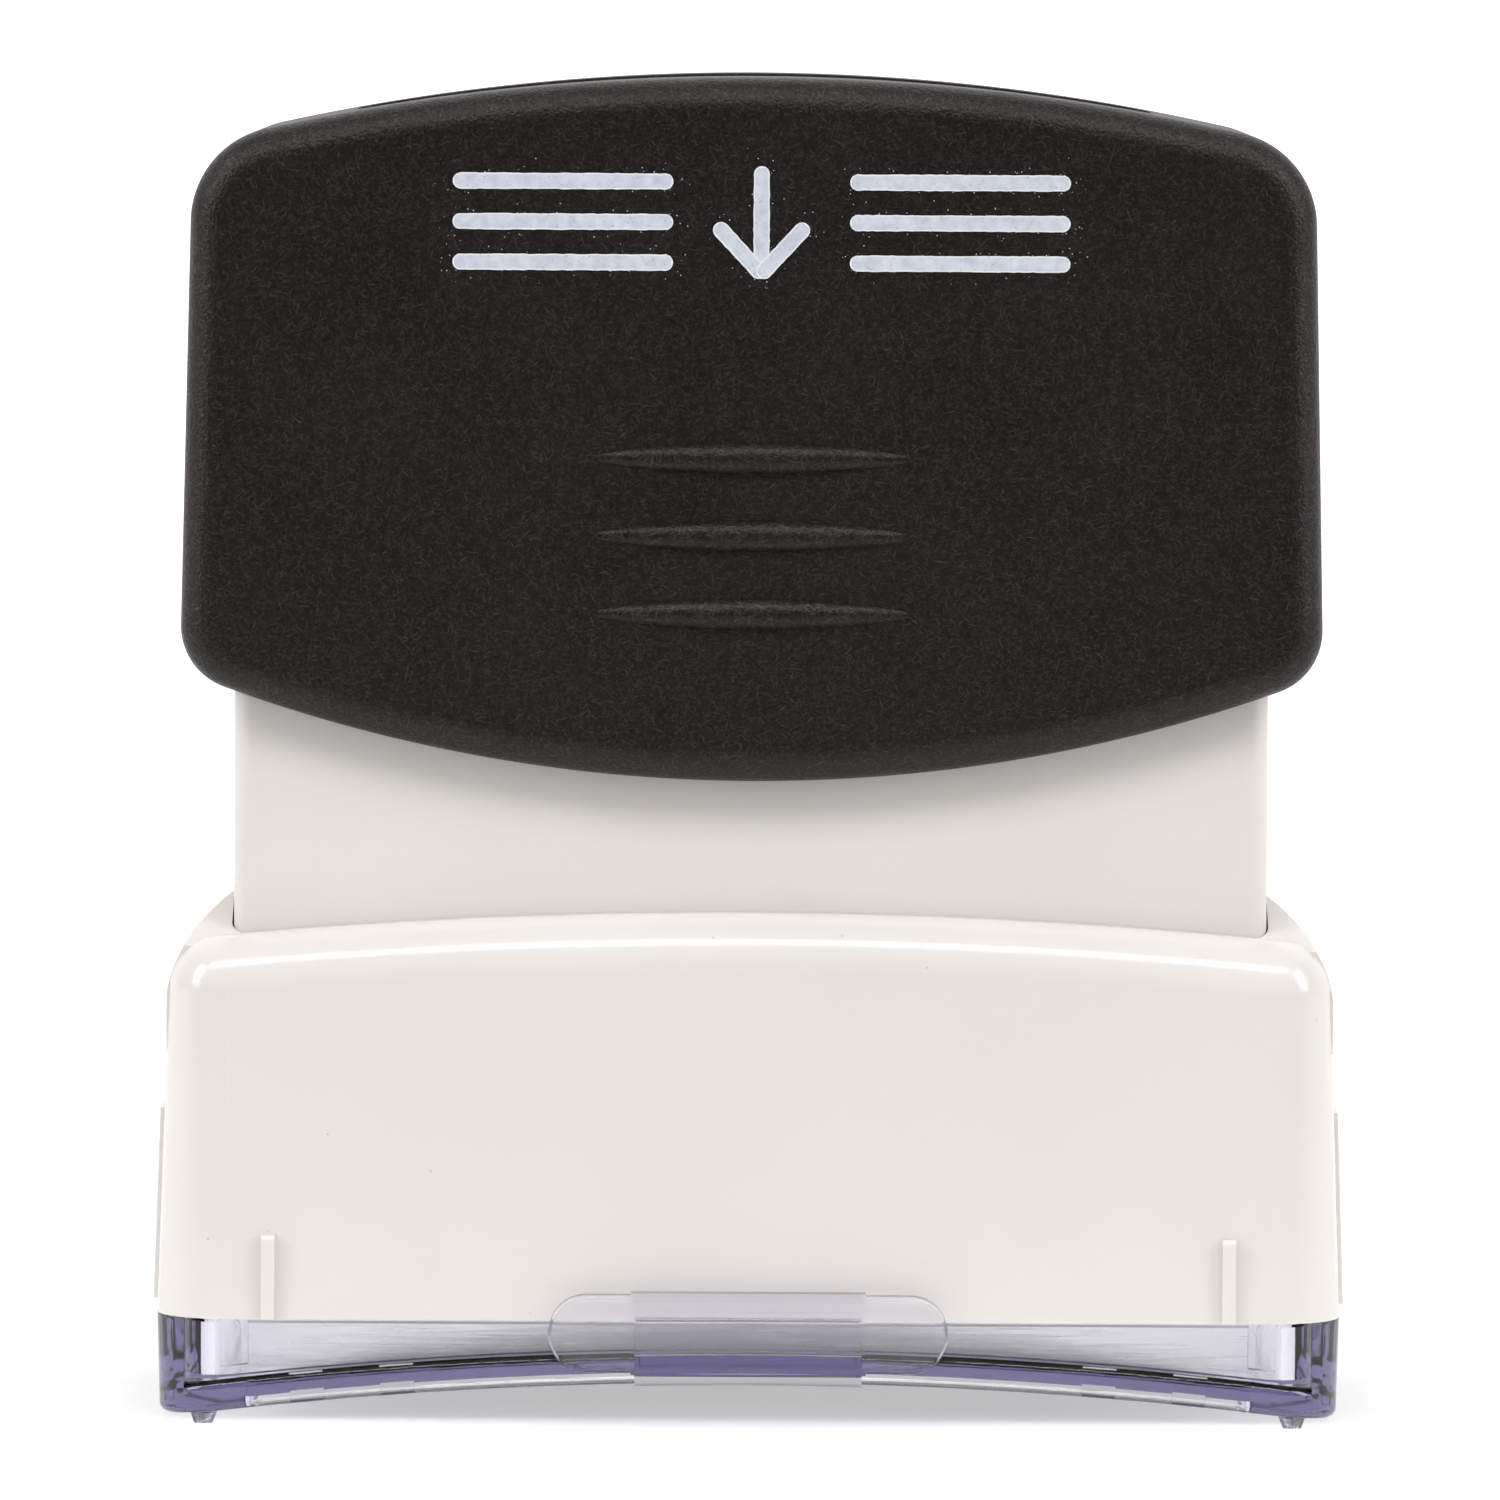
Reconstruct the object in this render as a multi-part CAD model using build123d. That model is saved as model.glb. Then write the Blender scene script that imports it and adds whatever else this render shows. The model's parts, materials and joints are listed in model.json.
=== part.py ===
from build123d import *
import math
import os

# Pre-inked hand stamp with a spring return, standing in its clear dust cover.
# The row frame is millimetres, +Z up. X runs along the stamp's width and -Y is its front.
# The origin is the middle of the rectangle that the cover's four feet stand on.

# --- Driving dimensions -------------------------------------------------------
GAP = 0.2  # clearance on each side of a loose moulded fit
SLIDE_GAP = 0.1  # clearance on each side of the stem in the skirt
PRESS_GAP = 0.02  # room beside a piece that is pressed in or laid on another
SNUG_GAP = 0.05  # clearance on each side of a snug fit
ROOT = 0.4  # how far a feature reaches into the body that it grows from
TRAVEL = 5.5  # how far the stem goes down when the handle is pressed

# Skirt: the outer body that stands on the paper
SKIRT_WIDTH, SKIRT_DEPTH = 61.85, 29.0
SKIRT_CORNER = 3.7
SKIRT_BOTTOM, SKIRT_TOP = 5.6, 26.65  # top is measured at the middle of the arch
SKIRT_ARCH_RADIUS = 291.0
SKIRT_WALL, SKIRT_ROOF = 1.4, 1.7
SKIRT_TAPER = 1.95  # degrees of draft
SHOULDER_FILLET = 2.75
COLLAR_WALL, COLLAR_DROP = 1.2, 3.2
SADDLE_SIDE, SADDLE_MIDDLE, SADDLE_INNER = (30.45, 22.3), (29.25, 25.3), (26.2, 27.8)
SADDLE_ROOT_Z = 19.4
SADDLE_HALF_DEPTH, SADDLE_EDGE_Z, SADDLE_CROWN_Z = 11.4, 24.8, 28.4
MARK_X, MARK_WIDTH, MARK_HEIGHT, MARK_PROUD = 25.0, 0.7, 4.4, 0.4
PAD_DEPTH, PAD_LOW, PAD_HIGH, PAD_PROUD, PAD_INNER_X = 18.0, 6.05, 16.1, 0.3, 28.0

# Dust cover: the clear tray under the stamp
COVER_ARCH_RADIUS, BAND_HEIGHT, FLOOR_THICK = 236.0, 1.64, 1.1
BAND_MIDDLE_Z = 2.34  # underside of the flange at the middle of the arch
COVER_DRAFT = 1.5  # degrees, the cover is widest where it meets the skirt
FLANGE_RIM, FLANGE_EDGE_FILLET = 1.2, 0.45
COVER_SINK = 0.05  # the skirt's edge sits this far above the cover's stops
RIM_WALL, RIM_TOP, RIM_LEAD_IN, RIM_INNER_CORNER = 1.1, 8.6, 0.3, 1.8
END_WALL_X = 29.4
SHOULDER_Z, SHOULDER_PROUD = 5.35, 0.15  # a step round the rim that centres the skirt
STOP_X, STOP_WIDTH, STOP_PROUD, STOP_RAISE = 26.75, 1.4, 1.15, 0.65
CORNER_FILL_X = 26.3  # outside this the flange's corners are solid down to the arch
FOOT_X, FOOT_Y, FOOT_FLAT_RADIUS, FOOT_ROOT_RADIUS, FOOT_ROOT_Z = 28.4, 12.9, 0.5, 0.85, 0.9
LUG_X, LUG_WIDTH, LUG_DEPTH, LUG_RAISE = (18.3, 23.0), 1.75, 1.3, 0.2
TAB_WIDTH, TAB_LOW, TAB_HIGH, TAB_CORNER, TAB_THICK = 20.8, 3.0, 7.05, 1.95, 0.95
TAB_STANDOFF, TAB_EDGE, TAB_SOFT_EDGE = 0.25, 0.22, 0.12
TAB_PAD_HALF, TAB_PAD_TOP, TAB_PAD_THICK = 6.1, 7.2, 1.5
TAB_BLOCK_HALF, TAB_BLOCK_TOP, TAB_BLOCK_THICK = 5.9, 6.0, 2.3

# Stem: the inner column that carries the handle, the ink and the die
STEM_WIDTH, STEM_DEPTH, STEM_CORNER, STEM_WALL = 54.0, 21.0, 0.9, 1.5
STEM_BOTTOM, STEM_TOP, STEM_ROOF, STEM_LEAD_IN = 15.4, 57.0, 1.6, 0.5
INNER_CORNER = 0.5  # inside corners of the small boxes
CELL_WALL_X, CELL_WALL, CELL_WALL_LOW = 12.6, 1.2, 25.2
SHELF_Z, SHELF_THICK = 33.0, 1.5
KEY_WIDTH, KEY_PROUD, KEY_LOW, KEY_HIGH = 1.6, 0.4, 46.0, 55.5
FILLER_X, FILLER_RADIUS, FILLER_COLLAR, COLLAR_MIDDLE_Z = 6.0, 2.5, 0.8, 56.8

# Return mechanism: two cross bars fixed in the skirt, each with a spring on it
BAR_X, BAR_WIDTH, BAR_LENGTH, BAR_LOW, BAR_HEIGHT = 18.0, 3.0, 25.0, 16.4, 1.8
BAR_BOSS_WIDTH, BAR_BOSS_LOW, BAR_BOSS_HIGH, BAR_BOSS_INNER_Y = 6.0, 15.3, 19.6, 11.0
SAUCER_RADIUS, PEG_RADIUS, PEG_HEIGHT, PEG_LEAD_IN = 3.85, 2.2, 2.2, 0.5
SPRING_RADIUS, SPRING_WIRE, SPRING_TURNS = 2.95, 0.35, 7
CUP_RADIUS, CUP_THICK, CUP_SKIRT, CUP_WALL = 4.0, 0.8, 1.6, 0.6

# Die cassette under the stem
DIE_FACE_Z, DIE_RELIEF, DIE_SHEET = 11.0, 0.5, 1.2
DIE_WIDTH, DIE_DEPTH, DIE_CORNER = 50.2, 17.8, 0.6
IMPRESSION_WIDTH, IMPRESSION_DEPTH, IMPRESSION_LINE = 43.0, 14.0, 0.7
IMPRESSION_BARS, IMPRESSION_BAR_HEIGHT = ((-3.6, 22.0), (0.0, 34.0), (3.6, 34.0)), 1.4
HOLDER_LOW, HOLDER_ROOF, HOLDER_CORNER = 12.0, 1.0, 1.0
BEZEL_WIDTH, BEZEL_DEPTH, BEZEL_LOW, BEZEL_HIGH, BEZEL_CORNER = 55.6, 22.7, 11.15, 14.6, 1.3
BEZEL_OPENING_WIDTH, BEZEL_OPENING_DEPTH, BEZEL_EDGE = 46.5, 15.5, 0.25
SNAP_X, SNAP_WIDTH, SNAP_THICK, SNAP_HEIGHT = 23.0, 3.0, 1.1, 7.0

# Ink supply inside the stem
TANK_WIDTH, TANK_DEPTH, TANK_LOW, TANK_HIGH, TANK_WALL = 23.2, 17.2, 16.2, 50.0, 1.0
TANK_CORNER, LID_THICK, SPONGE_HIGH, SPONGE_GAP = 1.6, 1.2, 48.0, 0.1
FUNNEL_HEIGHT, FUNNEL_ROOT = 2.8, 0.2
SEAL_WIDTH, SEAL_DEPTH, SEAL_CORNER = 20.0, 8.0, 1.5
PLUG_CAP_RADIUS, PLUG_CAP_LOW, PLUG_CAP_HIGH, PLUG_CAP_EDGE, PLUG_LOW = 3.6, 57.62, 58.82, 0.4, 54.4
WICK_WIDTH, WICK_DEPTH, WICK_TOP = 16.0, 4.0, 24.0

# Handle: the black shell that the hand holds
HANDLE_DEPTH, HANDLE_EDGE_FILLET = 25.6, 1.8
HANDLE_TOP, HANDLE_TOP_RADIUS, HANDLE_TOP_HALF = 70.2, 117.0, 29.2
HANDLE_BOTTOM, HANDLE_BOTTOM_RADIUS, HANDLE_BOTTOM_HALF = 33.55, 81.4, 29.8
HANDLE_TOP_CORNER, HANDLE_BOTTOM_CORNER = 5.0, 3.4
HANDLE_WALL, HOLLOW_HALF_DEPTH, HOLLOW_HALF_WIDTH, HOLLOW_LOW = 2.4, 9.8, 25.5, 56.0
WEB_HALF, WEB_LOW = 0.7, 60.5
RIB_Z, RIB_HALF_LENGTH, RIB_RADIUS, RIB_SINK = (50.45, 46.4, 42.35), 10.3, 0.85, 0.3
LABEL_WIDTH, LABEL_DEPTH, LABEL_CORNER, LABEL_THICK, LABEL_SINK = 42.0, 12.0, 1.5, 0.25, 0.6

TALL = 100.0  # longer than the whole stamp, for cutting blocks


# --- Small helpers ------------------------------------------------------------
def block(x_low, x_high, y_low, y_high, z_low, z_high):
    """A plain box from its lowest to its highest corner."""
    size = (x_high - x_low, y_high - y_low, z_high - z_low)
    middle = ((x_low + x_high) / 2, (y_low + y_high) / 2, (z_low + z_high) / 2)
    return Pos(*middle) * Box(*size)


def column(width, depth, corner, z_low, z_high, taper=0.0):
    """An upright prism with rounded corners, centred on the Z axis."""
    outline = Plane.XY.offset(z_low) * RectangleRounded(width, depth, corner)
    return extrude(outline, z_high - z_low, taper=taper)


def sag(radius, half_width):
    """How far an arc of that radius drops from its middle to half_width."""
    return radius - math.sqrt(radius**2 - half_width**2)


def under_arch(crown_z, radius, half_width, floor_z, half_depth):
    """Everything from floor_z up to an arch whose crown is at crown_z."""
    end_z = crown_z - sag(radius, half_width)
    outline = [
        Line((-half_width, floor_z), (half_width, floor_z)),
        Line((half_width, floor_z), (half_width, end_z)),
        ThreePointArc((half_width, end_z), (0, crown_z), (-half_width, end_z)),
        Line((-half_width, end_z), (-half_width, floor_z)),
    ]
    return extrude(Plane.XZ * make_face(outline), half_depth, both=True)


def over_arch(crown_z, ceiling_z):
    """Everything above the cover's arch, raised so that its crown is at crown_z, up to ceiling_z."""
    half_width, half_depth = SKIRT_WIDTH, SKIRT_DEPTH
    end_z = crown_z - sag(COVER_ARCH_RADIUS, half_width)
    outline = [
        ThreePointArc((-half_width, end_z), (0, crown_z), (half_width, end_z)),
        Line((half_width, end_z), (half_width, ceiling_z)),
        Line((half_width, ceiling_z), (-half_width, ceiling_z)),
        Line((-half_width, ceiling_z), (-half_width, end_z)),
    ]
    return extrude(Plane.XZ * make_face(outline), half_depth, both=True)


def both_ends(shape):
    """The shape and its mirror image on the other side of the YZ plane."""
    return shape + mirror(shape, Plane.YZ)


def front_and_back(shape):
    """The shape and its mirror image on the other side of the XZ plane."""
    return shape + mirror(shape, Plane.XZ)


# --- Dust cover ---------------------------------------------------------------
RIM_OUTER = (SKIRT_WIDTH - 2 * SKIRT_WALL - 2 * GAP, SKIRT_DEPTH - 2 * SKIRT_WALL - 2 * GAP)
RIM_INNER = (RIM_OUTER[0] - 2 * RIM_WALL, RIM_OUTER[1] - 2 * RIM_WALL)
FLANGE_TOP_Z = BAND_MIDDLE_Z + BAND_HEIGHT
COVER_REACH = SKIRT_BOTTOM - COVER_SINK


def cover_plan(z_high):
    """The cover's outside, drawn in by its draft below the skirt's edge."""
    draw = math.tan(math.radians(COVER_DRAFT)) * z_high
    corner = SKIRT_CORNER - draw
    return column(SKIRT_WIDTH - 2 * draw, SKIRT_DEPTH - 2 * draw, corner, 0, z_high, taper=-COVER_DRAFT)


def cover_flange():
    """The arched flange: a thin floor with a rim turned down round its edge, and lugs under the floor."""
    band = cover_plan(SKIRT_BOTTOM) & over_arch(BAND_MIDDLE_Z, SKIRT_BOTTOM)
    band = band - over_arch(FLANGE_TOP_Z, TALL)
    band = fillet(band.faces().sort_by(Axis.Z)[0].edges(), FLANGE_EDGE_FILLET)
    pocket = column(2 * CORNER_FILL_X, SKIRT_DEPTH - 2 * FLANGE_RIM, 1.0, -2, SKIRT_BOTTOM)
    pocket = pocket - over_arch(FLANGE_TOP_Z - FLOOR_THICK, TALL)
    flange = band - pocket
    rim_face = SKIRT_DEPTH / 2 - FLANGE_RIM
    for x in LUG_X:
        x_low, x_high = x - LUG_WIDTH / 2, x + LUG_WIDTH / 2
        lug = block(x_low, x_high, -rim_face - ROOT, -rim_face + LUG_DEPTH, -1, FLANGE_TOP_Z)
        lug = lug & over_arch(BAND_MIDDLE_Z + LUG_RAISE, FLANGE_TOP_Z)
        lug = lug - over_arch(FLANGE_TOP_Z - FLOOR_THICK / 2, TALL)
        flange = flange + both_ends(front_and_back(lug))
    return flange


def cover_walls():
    """The rim that plugs into the skirt, the flush end walls, and the stops that the skirt sits on."""
    above_floor = over_arch(FLANGE_TOP_Z - FLOOR_THICK / 2, TALL)
    inside = column(*RIM_INNER, RIM_INNER_CORNER, -1, TALL)
    rim = column(*RIM_OUTER, SKIRT_CORNER - SKIRT_WALL, -1, RIM_TOP)
    rim_top = rim.faces().sort_by(Axis.Z)[-1]
    rim = chamfer(rim_top.edges(), RIM_LEAD_IN)
    step_size = [side + 2 * SHOULDER_PROUD for side in RIM_OUTER]
    shoulder = column(*step_size, SKIRT_CORNER - SKIRT_WALL, -1, SHOULDER_Z)
    shoulder = chamfer(shoulder.faces().sort_by(Axis.Z)[-1].edges(), SHOULDER_PROUD * 0.8)
    ends = cover_plan(COVER_REACH) - block(-END_WALL_X, END_WALL_X, -SKIRT_DEPTH, SKIRT_DEPTH, -1, TALL)
    rim_face = RIM_OUTER[1] / 2
    x_low, x_high = STOP_X - STOP_WIDTH / 2, STOP_X + STOP_WIDTH / 2
    stop = block(x_low, x_high, -rim_face - STOP_PROUD, -rim_face + ROOT, -1, COVER_REACH)
    stop = stop & over_arch(FLANGE_TOP_Z + STOP_RAISE, TALL)
    walls = rim + shoulder + ends + both_ends(front_and_back(stop))
    return (walls - inside) & above_floor


def cover_tab():
    """The finger tab: a rounded plate standing off the skirt, with a thicker pad and a block."""
    back_y = -SKIRT_DEPTH / 2 - TAB_STANDOFF
    middle_z = (TAB_LOW + TAB_HIGH) / 2
    outline = Plane.XZ * Pos(0, middle_z) * RectangleRounded(TAB_WIDTH, TAB_HIGH - TAB_LOW, TAB_CORNER)
    plate = Pos(0, back_y, 0) * extrude(outline, TAB_THICK)
    plate = fillet(plate.faces().sort_by(Axis.Y)[0].edges(), TAB_EDGE)
    pad = block(-TAB_PAD_HALF, TAB_PAD_HALF, back_y - TAB_PAD_THICK, back_y, TAB_LOW, TAB_PAD_TOP)
    pad = chamfer(pad.edges().filter_by(Axis.X).sort_by(Axis.Z)[-2:].sort_by(Axis.Y)[0], 2 * TAB_EDGE)
    grip = block(
        -TAB_BLOCK_HALF, TAB_BLOCK_HALF, back_y - TAB_BLOCK_THICK, back_y, TAB_LOW, TAB_BLOCK_TOP
    )
    grip = fillet(grip.faces().sort_by(Axis.Y)[0].edges(), TAB_SOFT_EDGE)
    web = block(
        -TAB_BLOCK_HALF, TAB_BLOCK_HALF, back_y - ROOT, -SKIRT_DEPTH / 2 + ROOT, 0, FLANGE_TOP_Z
    )
    web = web & over_arch(BAND_MIDDLE_Z, FLANGE_TOP_Z)
    web = web - over_arch(FLANGE_TOP_Z - PRESS_GAP, TALL)
    return plate + pad + grip + web


def make_dust_cover():
    foot = Pos(FOOT_X, -FOOT_Y, FOOT_ROOT_Z / 2) * Cone(FOOT_FLAT_RADIUS, FOOT_ROOT_RADIUS, FOOT_ROOT_Z)
    cover = cover_flange() + cover_walls() + front_and_back(cover_tab())
    return cover + both_ends(front_and_back(foot))


# --- Skirt --------------------------------------------------------------------
def skirt_shell():
    """The outer body: tapered walls and an arched roof with a soft shoulder all round."""
    body = column(SKIRT_WIDTH, SKIRT_DEPTH, SKIRT_CORNER, SKIRT_BOTTOM, SKIRT_TOP + 2, taper=SKIRT_TAPER)
    body = body & under_arch(SKIRT_TOP, SKIRT_ARCH_RADIUS, SKIRT_WIDTH, 0, SKIRT_DEPTH)
    roof_edges = body.faces().sort_by(Axis.Z)[-1].edges()
    return fillet(roof_edges, SHOULDER_FILLET)


def skirt_saddles():
    """A raised shoulder beside each end of the stem, rounded in both directions."""
    inner_x, inner_z = SADDLE_INNER
    profile = [
        Line((inner_x, SADDLE_ROOT_Z), (SADDLE_SIDE[0], SADDLE_ROOT_Z)),
        Line((SADDLE_SIDE[0], SADDLE_ROOT_Z), SADDLE_SIDE),
        ThreePointArc(SADDLE_SIDE, SADDLE_MIDDLE, (inner_x, inner_z)),
        Line((inner_x, inner_z), (inner_x, SADDLE_ROOT_Z)),
    ]
    ridge = extrude(Plane.XZ * make_face(profile), SADDLE_HALF_DEPTH, both=True)
    crown = [
        Line((-SADDLE_HALF_DEPTH, 0), (SADDLE_HALF_DEPTH, 0)),
        Line((SADDLE_HALF_DEPTH, 0), (SADDLE_HALF_DEPTH, SADDLE_EDGE_Z)),
        ThreePointArc(
            (SADDLE_HALF_DEPTH, SADDLE_EDGE_Z), (0, SADDLE_CROWN_Z), (-SADDLE_HALF_DEPTH, SADDLE_EDGE_Z)
        ),
        Line((-SADDLE_HALF_DEPTH, SADDLE_EDGE_Z), (-SADDLE_HALF_DEPTH, 0)),
    ]
    dome = extrude(Plane.YZ * make_face(crown), SKIRT_WIDTH, both=True)
    return both_ends(ridge & dome)


def skirt_outside_details():
    """The four short centring marks and the two thin grip pads."""
    low_face = SKIRT_DEPTH / 2
    lean = math.tan(math.radians(SKIRT_TAPER)) * MARK_HEIGHT
    mark = block(
        MARK_X - MARK_WIDTH / 2, MARK_X + MARK_WIDTH / 2,
        -low_face - MARK_PROUD + lean, -low_face + 2 * ROOT,
        SKIRT_BOTTOM, SKIRT_BOTTOM + MARK_HEIGHT,
    )
    mark = fillet(mark.faces().sort_by(Axis.Y)[0].edges().sort_by(Axis.Z)[-1], MARK_PROUD * 0.8)
    pad = column(
        SKIRT_WIDTH + 2 * PAD_PROUD, SKIRT_DEPTH, SKIRT_CORNER, SKIRT_BOTTOM, SKIRT_TOP, taper=SKIRT_TAPER
    )
    pad = pad & block(PAD_INNER_X, TALL, -PAD_DEPTH / 2, PAD_DEPTH / 2, PAD_LOW, PAD_HIGH)
    return both_ends(front_and_back(mark)) + both_ends(pad)


def bar_bosses():
    """Four bosses inside the front and back walls that hold the ends of the cross bars."""
    boss = block(
        BAR_X - BAR_BOSS_WIDTH / 2, BAR_X + BAR_BOSS_WIDTH / 2,
        -SKIRT_DEPTH / 2 + SKIRT_WALL / 2, -BAR_BOSS_INNER_Y, BAR_BOSS_LOW, BAR_BOSS_HIGH,
    )
    return both_ends(front_and_back(boss))


def make_skirt():
    inner_width, inner_depth = SKIRT_WIDTH - 2 * SKIRT_WALL, SKIRT_DEPTH - 2 * SKIRT_WALL
    cavity = column(
        inner_width, inner_depth, SKIRT_CORNER - SKIRT_WALL, SKIRT_BOTTOM, SKIRT_TOP, taper=SKIRT_TAPER
    )
    cavity = cavity & under_arch(SKIRT_TOP - SKIRT_ROOF, SKIRT_ARCH_RADIUS, SKIRT_WIDTH, 0, SKIRT_DEPTH)
    slot = (STEM_WIDTH + 2 * SLIDE_GAP, STEM_DEPTH + 2 * SLIDE_GAP)
    roof_z = SKIRT_TOP - SKIRT_ROOF
    collar = column(
        slot[0] + 2 * COLLAR_WALL, slot[1] + 2 * COLLAR_WALL, STEM_CORNER + COLLAR_WALL,
        roof_z - COLLAR_DROP, roof_z + SKIRT_ROOF / 2 - sag(SKIRT_ARCH_RADIUS, slot[0] / 2),
    )
    skirt = skirt_shell() + skirt_saddles() + skirt_outside_details()
    skirt = skirt - cavity + collar + bar_bosses()
    skirt = skirt - column(*slot, STEM_CORNER + SLIDE_GAP, BAR_BOSS_HIGH, TALL)
    seat_width, seat_length = BAR_WIDTH + 2 * PRESS_GAP, BAR_LENGTH + 2 * PRESS_GAP
    bar_seat = block(
        BAR_X - seat_width / 2, BAR_X + seat_width / 2, -seat_length / 2, seat_length / 2,
        BAR_LOW - PRESS_GAP, BAR_LOW + BAR_HEIGHT + PRESS_GAP,
    )
    return skirt - both_ends(bar_seat)


# --- Return mechanism ---------------------------------------------------------
def make_return_bar(side):
    bar = block(
        -BAR_WIDTH / 2, BAR_WIDTH / 2, -BAR_LENGTH / 2, BAR_LENGTH / 2, BAR_LOW, BAR_LOW + BAR_HEIGHT
    )
    saucer = Pos(0, 0, BAR_LOW + BAR_HEIGHT / 2) * Cylinder(SAUCER_RADIUS, BAR_HEIGHT)
    peg = Pos(0, 0, BAR_LOW + BAR_HEIGHT + PEG_HEIGHT / 2) * Cylinder(PEG_RADIUS, PEG_HEIGHT)
    peg = chamfer(peg.faces().sort_by(Axis.Z)[-1].edges(), PEG_LEAD_IN)
    return Pos(side * BAR_X, 0, 0) * (bar + saucer + peg)


def make_spring_cup(side):
    """The upper seat: a shallow cup, open downward, pushed over the peg under the stem's shelf."""
    cup = Pos(0, 0, SHELF_Z - PRESS_GAP - CUP_SKIRT / 2) * Cylinder(CUP_RADIUS, CUP_SKIRT)
    hollow_z = SHELF_Z - CUP_THICK - CUP_SKIRT
    cup = cup - Pos(0, 0, hollow_z) * Cylinder(CUP_RADIUS - CUP_WALL, 2 * CUP_SKIRT)
    cup = cup - Pos(0, 0, SHELF_Z) * Cylinder(PEG_RADIUS + PRESS_GAP, TALL)
    return Pos(side * BAR_X, 0, 0) * cup


def make_return_spring(side):
    seat_low = BAR_LOW + BAR_HEIGHT + SPRING_WIRE + SNUG_GAP
    seat_high = SHELF_Z - CUP_THICK - SPRING_WIRE - SNUG_GAP
    path = Helix((seat_high - seat_low) / SPRING_TURNS, seat_high - seat_low, SPRING_RADIUS)
    wire = sweep(Plane(path @ 0, z_dir=path % 0) * Circle(SPRING_WIRE), path=path, is_frenet=True)
    return Pos(side * BAR_X, 0, seat_low) * wire


# --- Stem ---------------------------------------------------------------------
def make_stem():
    inner_width, inner_depth = STEM_WIDTH - 2 * STEM_WALL, STEM_DEPTH - 2 * STEM_WALL
    shell = column(STEM_WIDTH, STEM_DEPTH, STEM_CORNER, STEM_BOTTOM, STEM_TOP)
    shell = chamfer(shell.faces().sort_by(Axis.Z)[-1].edges(), STEM_LEAD_IN)
    shell = shell - column(inner_width, inner_depth, INNER_CORNER, 0, STEM_TOP - STEM_ROOF)
    cell_wall = block(
        CELL_WALL_X, CELL_WALL_X + CELL_WALL, -inner_depth / 2, inner_depth / 2,
        CELL_WALL_LOW, STEM_TOP - STEM_ROOF,
    )
    shelf = block(
        CELL_WALL_X, inner_width / 2, -inner_depth / 2, inner_depth / 2, SHELF_Z, SHELF_Z + SHELF_THICK
    )
    peg = Pos(BAR_X, 0, SHELF_Z - PEG_HEIGHT / 2) * Cylinder(PEG_RADIUS, PEG_HEIGHT)
    key = block(
        STEM_WIDTH / 2 - ROOT, STEM_WIDTH / 2 + KEY_PROUD, -KEY_WIDTH / 2, KEY_WIDTH / 2,
        KEY_LOW, KEY_HIGH,
    )
    collar = Pos(FILLER_X, 0, COLLAR_MIDDLE_Z) * Cylinder(FILLER_RADIUS + FILLER_COLLAR, STEM_ROOF)
    stem = shell + both_ends(cell_wall + shelf + peg + key + collar)
    slot = block(
        BAR_X - BAR_WIDTH / 2 - GAP, BAR_X + BAR_WIDTH / 2 + GAP, -STEM_DEPTH, STEM_DEPTH,
        BAR_LOW - SNUG_GAP, BAR_LOW + BAR_HEIGHT + TRAVEL + 2 * SNUG_GAP,
    )
    filler = Pos(FILLER_X, 0, STEM_TOP) * Cylinder(FILLER_RADIUS, 5 * STEM_ROOF)
    return stem - both_ends(slot + filler)


# --- Ink supply ---------------------------------------------------------------
def wick_passage(z_high):
    """The upright slot that the wick passes through, from below the stamp up to z_high."""
    return column(WICK_WIDTH + 2 * SNUG_GAP, WICK_DEPTH + 2 * SNUG_GAP, INNER_CORNER, 0, z_high)


def make_ink_tank():
    tank = column(TANK_WIDTH, TANK_DEPTH, TANK_CORNER, TANK_LOW, TANK_HIGH)
    inner_width, inner_depth = TANK_WIDTH - 2 * TANK_WALL, TANK_DEPTH - 2 * TANK_WALL
    hollow = column(inner_width, inner_depth, TANK_CORNER - TANK_WALL, TANK_LOW + TANK_WALL, TALL)
    return tank - hollow - wick_passage(TANK_LOW + 2 * TANK_WALL)


def make_tank_lid():
    lid = column(TANK_WIDTH, TANK_DEPTH, TANK_CORNER, TANK_HIGH + PRESS_GAP, TANK_HIGH + LID_THICK)
    funnel_z = TANK_HIGH + LID_THICK - FUNNEL_ROOT + FUNNEL_HEIGHT / 2
    funnel = Pos(FILLER_X, 0, funnel_z) * Cylinder(FILLER_RADIUS + FILLER_COLLAR, FUNNEL_HEIGHT)
    bore = Pos(FILLER_X, 0, TANK_HIGH) * Cylinder(FILLER_RADIUS, 4 * FUNNEL_HEIGHT)
    return lid + both_ends(funnel) - both_ends(bore)


def make_ink_sponge():
    inset = 2 * (TANK_WALL + SPONGE_GAP)
    low = TANK_LOW + TANK_WALL + PRESS_GAP
    sponge = column(TANK_WIDTH - inset, TANK_DEPTH - inset, INNER_CORNER, low, SPONGE_HIGH)
    return sponge - wick_passage(WICK_TOP + SNUG_GAP)


def make_tank_seal():
    seal = column(SEAL_WIDTH, SEAL_DEPTH, SEAL_CORNER, STEM_BOTTOM, TANK_LOW - PRESS_GAP)
    return seal - wick_passage(TALL)


def make_filler_plug(side):
    """A push-in plug for one ink hole in the stem's top, with a cap to pull it by."""
    shank_high = PLUG_CAP_LOW + ROOT
    shank_z = (PLUG_LOW + shank_high) / 2
    shank = Pos(0, 0, shank_z) * Cylinder(FILLER_RADIUS - PRESS_GAP, shank_high - PLUG_LOW)
    cap_z = (PLUG_CAP_LOW + PLUG_CAP_HIGH) / 2
    cap = Pos(0, 0, cap_z) * Cylinder(PLUG_CAP_RADIUS, PLUG_CAP_HIGH - PLUG_CAP_LOW)
    cap = fillet(cap.faces().sort_by(Axis.Z)[-1].edges(), PLUG_CAP_EDGE)
    return Pos(side * FILLER_X, 0, 0) * (shank + cap)


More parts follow.
